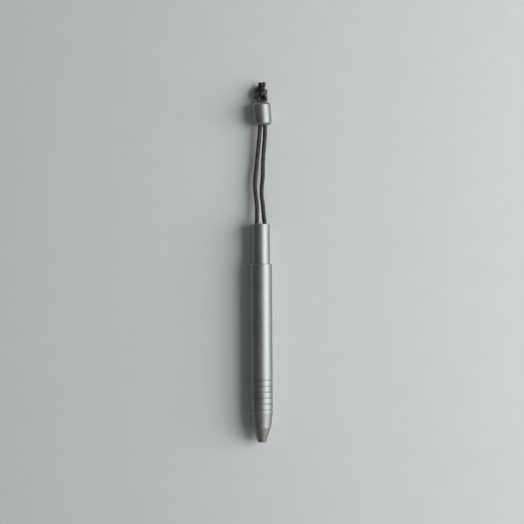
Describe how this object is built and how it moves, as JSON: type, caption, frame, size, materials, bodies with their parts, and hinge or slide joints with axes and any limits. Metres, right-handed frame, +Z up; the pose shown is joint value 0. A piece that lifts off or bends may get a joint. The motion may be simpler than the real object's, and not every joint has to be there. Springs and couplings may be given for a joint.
{
  "type": "mini pen with lanyard",
  "caption": "Slim blasted-metal twist pen with a grooved grip, a narrow rear tube and a braided cord lanyard carrying a bead and a knot.",
  "frame": {"origin": "on the surface that the pen lies on, under the middle of the pen without its lanyard", "axes": "+Y from the nose tip to the lanyard along the pen's axis, +Z up from the surface, +X to the right seen from above"},
  "size_m": [0.0082, 0.1287, 0.0079],
  "materials": {
    "titanium": "matte",
    "nose_titanium": "matte",
    "steel": "satin",
    "refill_brass": "satin",
    "seal_rubber": "matte",
    "polymer": "satin",
    "ink": "gloss",
    "grease": "gloss",
    "cord": "matte"
  },
  "bodies": {
    "tail": {"rear_tube": "titanium", "lanyard_pin": "titanium", "cam_sleeve": "steel", "retaining_ring": "steel", "thrust_washer": "polymer", "cord_left": "cord", "cord_right": "cord", "cord_loop": "cord", "cord_tail_left": "cord", "cord_tail_right": "cord", "knot": "cord"},
    "barrel": {"barrel": "titanium", "guide_sleeve": "steel", "friction_ring": "seal_rubber"},
    "refill": {"refill_tube": "steel", "refill_point": "refill_brass", "writing_ball": "steel", "ink": "ink", "grease_plug": "grease", "refill_holder": "polymer", "drive_pin": "steel"},
    "nose_ring": {"nose_seal": "seal_rubber"},
    "nose": {"nose_tip": "nose_titanium"},
    "bead": {"bead": "titanium"}
  },
  "joints": [
    {"name": "barrel_twist", "type": "hinge", "parent": "tail", "child": "barrel", "pos_m": [0, 0, 0.00397], "axis": [0, -1, 0], "range_deg": [0, 180]},
    {"name": "refill_slide", "type": "slide", "parent": "barrel", "child": "refill", "axis": [0, -1, 0], "range_m": [0, 0.004]},
    {"name": "nose_travel", "type": "slide", "parent": "barrel", "child": "nose_ring", "axis": [0, -1, 0], "range_m": [0, 0.0032]},
    {"name": "nose_screw", "type": "hinge", "parent": "nose_ring", "child": "nose", "pos_m": [0, 0, 0.00397], "axis": [0, -1, 0], "range_deg": [0, 1440]},
    {"name": "bead_slide", "type": "slide", "parent": "tail", "child": "bead", "axis": [-0.037, -0.9993, 0], "range_m": [0, 0.031], "deforming": ["cord_left", "cord_right"]}
  ],
  "couplings": [
    {"joint": "barrel_twist", "follows": "refill_slide", "rad_per_m": 785.4},
    {"joint": "nose_screw", "follows": "nose_travel", "rad_per_m": 7854}
  ]
}
